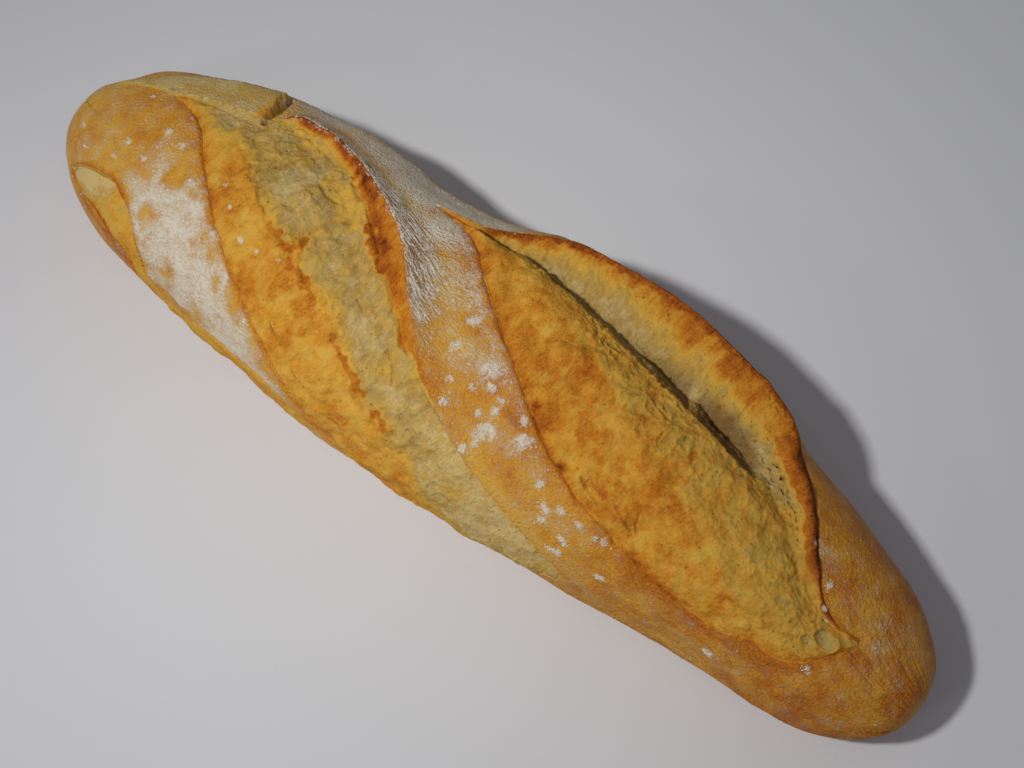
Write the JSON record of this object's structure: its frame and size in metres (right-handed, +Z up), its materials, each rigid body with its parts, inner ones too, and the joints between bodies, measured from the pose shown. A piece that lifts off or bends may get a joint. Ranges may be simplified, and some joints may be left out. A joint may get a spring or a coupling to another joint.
{
  "type": "stone-baked loaf",
  "caption": "Long stone-baked white loaf with a floured golden crust and slanting slashes burst open into ears, free-standing on its flat underside",
  "frame": {"origin": "middle of the flat underside, under the middle of the loaf's length and width", "axes": "+X along the loaf towards its narrower end, +Y across it towards the side with the tall ear, +Z up"},
  "size_m": [0.32, 0.094, 0.0638],
  "materials": {
    "crust": "matte, floured"
  },
  "bodies": {
    "root": {"loaf": "crust"}
  },
  "joints": []
}
